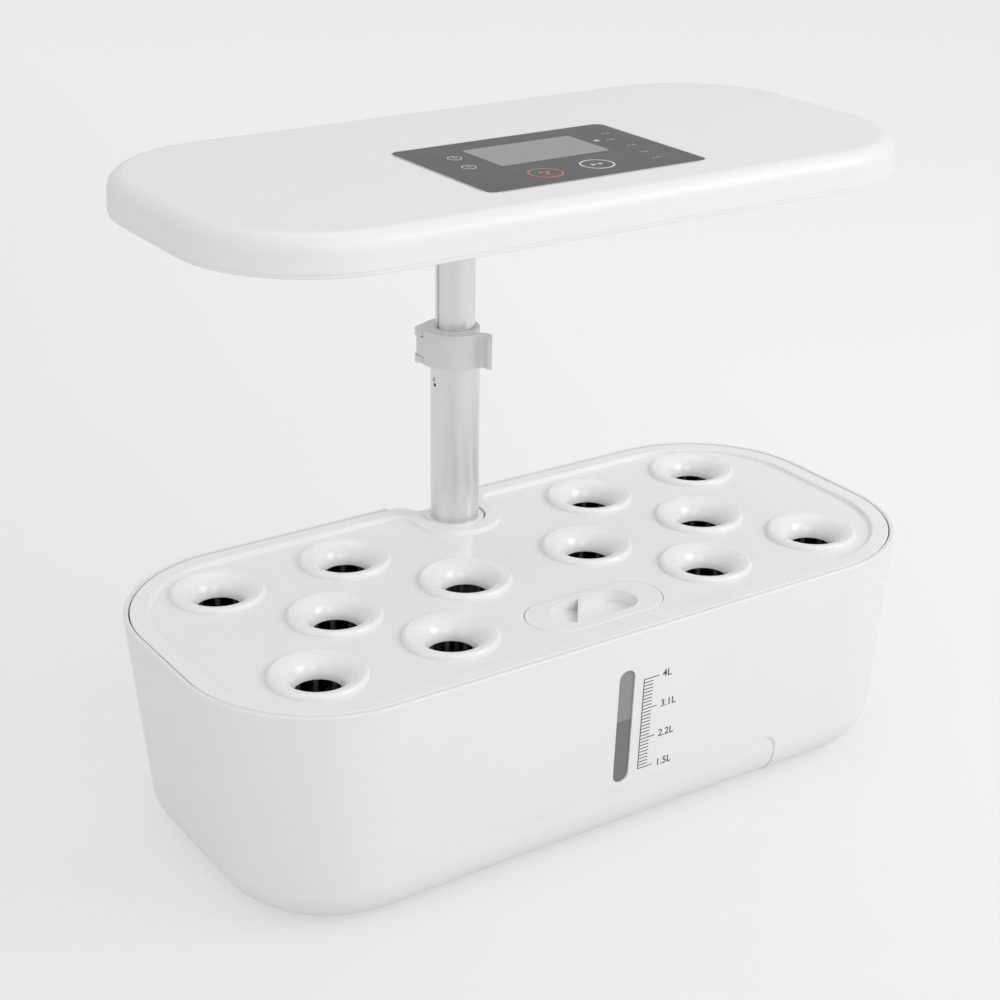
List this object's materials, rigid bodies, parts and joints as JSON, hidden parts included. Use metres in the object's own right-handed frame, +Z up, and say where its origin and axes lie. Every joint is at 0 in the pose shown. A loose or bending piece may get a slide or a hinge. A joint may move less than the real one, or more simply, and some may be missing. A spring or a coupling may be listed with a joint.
{
  "type": "countertop hydroponic garden",
  "caption": "Table-top hydroponic planter: white water tank with removable deck, plant baskets, fill lid, water window, pump, and a flat grow lamp on a clamped telescopic pole.",
  "frame": {"origin": "middle of the outline at the table surface", "axes": "+X to the right along the tank, -Y towards the user and the water window, +Z up the pole"},
  "size_m": [0.3732, 0.1852, 0.3002],
  "materials": {
    "white_shell": "gloss white moulded plastic",
    "white_basket": "gloss white moulded plastic",
    "dark_liner": "matte black moulded plastic",
    "grey_clamp": "satin light grey plastic",
    "satin_aluminium": "satin anodised",
    "steel": "plain steel",
    "rubber_grey": "matt rubber",
    "clear_window": "clear plastic",
    "diffuser": "frosted plastic",
    "board": "white solder mask",
    "board_green": "green circuit board",
    "led": "phosphor",
    "panel": "smoked gloss panel",
    "display": "display glass",
    "black_plastic": "black plastic",
    "foam": "open cell foam"
  },
  "bodies": {
    "base": {"tank_shell": "white_shell", "base_plate": "white_shell", "pole_socket": "white_shell", "reservoir": "dark_liner", "foot_pads": "rubber_grey", "window_gasket": "rubber_grey", "base_screws": "steel", "socket_screws": "steel", "tube_pin": "steel", "clamp_hinge_pin": "steel", "pump_shaft": "steel", "water_window": "clear_window", "outer_tube": "satin_aluminium", "tube_bush": "black_plastic", "clamp_collar": "grey_clamp", "clamp_brake_shoe": "rubber_grey", "pump_body": "black_plastic", "pump_cover": "black_plastic", "pump_filter": "foam", "pump_feet": "rubber_grey", "pump_lead": "black_plastic"},
    "mast": {"inner_tube": "satin_aluminium", "slide_foot": "black_plastic", "lamp_hub": "white_shell", "hub_screws": "steel", "lamp_bottom_cover": "white_shell", "lamp_top_cover": "white_shell", "lamp_screws": "steel", "light_diffuser": "diffuser", "led_board": "board", "led_chips": "led", "board_screws": "steel", "control_board": "board_green", "lcd_module": "display", "display_panel": "panel", "dc_jack": "black_plastic"},
    "lever": {"clamp_lever": "grey_clamp"},
    "deck": {"grow_deck": "white_shell"},
    "lid": {"fill_lid": "white_shell"},
    "impeller": {"pump_impeller": "black_plastic"},
    "basket_01": {"grow_basket_01": "white_basket"},
    "basket_02": {"grow_basket_02": "white_basket"},
    "basket_03": {"grow_basket_03": "white_basket"},
    "basket_04": {"grow_basket_04": "white_basket"},
    "basket_05": {"grow_basket_05": "white_basket"},
    "basket_06": {"grow_basket_06": "white_basket"},
    "basket_07": {"grow_basket_07": "white_basket"},
    "basket_08": {"grow_basket_08": "white_basket"},
    "basket_09": {"grow_basket_09": "white_basket"},
    "basket_10": {"grow_basket_10": "white_basket"},
    "basket_11": {"grow_basket_11": "white_basket"},
    "basket_12": {"grow_basket_12": "white_basket"}
  },
  "joints": [
    {"name": "height_slide", "type": "slide", "parent": "base", "child": "mast", "axis": [0, 0, 1], "range_m": [-0.058, 0.065]},
    {"name": "clamp_lever_hinge", "type": "hinge", "parent": "base", "child": "lever", "pos_m": [-0.0144, 0.0633, 0.1964], "axis": [0, 0, -1], "range_deg": [0, 95]},
    {"name": "deck_lift", "type": "slide", "parent": "base", "child": "deck", "axis": [0, 0, 1], "range_m": [0, 0.065]},
    {"name": "fill_lid_lift", "type": "slide", "parent": "deck", "child": "lid", "axis": [0, 0, 1], "range_m": [0, 0.03]},
    {"name": "impeller_spin", "type": "hinge", "parent": "base", "child": "impeller", "pos_m": [0, -0.0025, 0.0221], "axis": [0, 1, 0], "continuous": true},
    {"name": "basket_01_lift", "type": "slide", "parent": "deck", "child": "basket_01", "axis": [0, 0, 1], "range_m": [0, 0.06]},
    {"name": "basket_02_lift", "type": "slide", "parent": "deck", "child": "basket_02", "axis": [0, 0, 1], "range_m": [0, 0.06]},
    {"name": "basket_03_lift", "type": "slide", "parent": "deck", "child": "basket_03", "axis": [0, 0, 1], "range_m": [0, 0.06]},
    {"name": "basket_04_lift", "type": "slide", "parent": "deck", "child": "basket_04", "axis": [0, 0, 1], "range_m": [0, 0.06]},
    {"name": "basket_05_lift", "type": "slide", "parent": "deck", "child": "basket_05", "axis": [0, 0, 1], "range_m": [0, 0.06]},
    {"name": "basket_06_lift", "type": "slide", "parent": "deck", "child": "basket_06", "axis": [0, 0, 1], "range_m": [0, 0.06]},
    {"name": "basket_07_lift", "type": "slide", "parent": "deck", "child": "basket_07", "axis": [0, 0, 1], "range_m": [0, 0.06]},
    {"name": "basket_08_lift", "type": "slide", "parent": "deck", "child": "basket_08", "axis": [0, 0, 1], "range_m": [0, 0.06]},
    {"name": "basket_09_lift", "type": "slide", "parent": "deck", "child": "basket_09", "axis": [0, 0, 1], "range_m": [0, 0.06]},
    {"name": "basket_10_lift", "type": "slide", "parent": "deck", "child": "basket_10", "axis": [0, 0, 1], "range_m": [0, 0.06]},
    {"name": "basket_11_lift", "type": "slide", "parent": "deck", "child": "basket_11", "axis": [0, 0, 1], "range_m": [0, 0.06]},
    {"name": "basket_12_lift", "type": "slide", "parent": "deck", "child": "basket_12", "axis": [0, 0, 1], "range_m": [0, 0.06]}
  ]
}
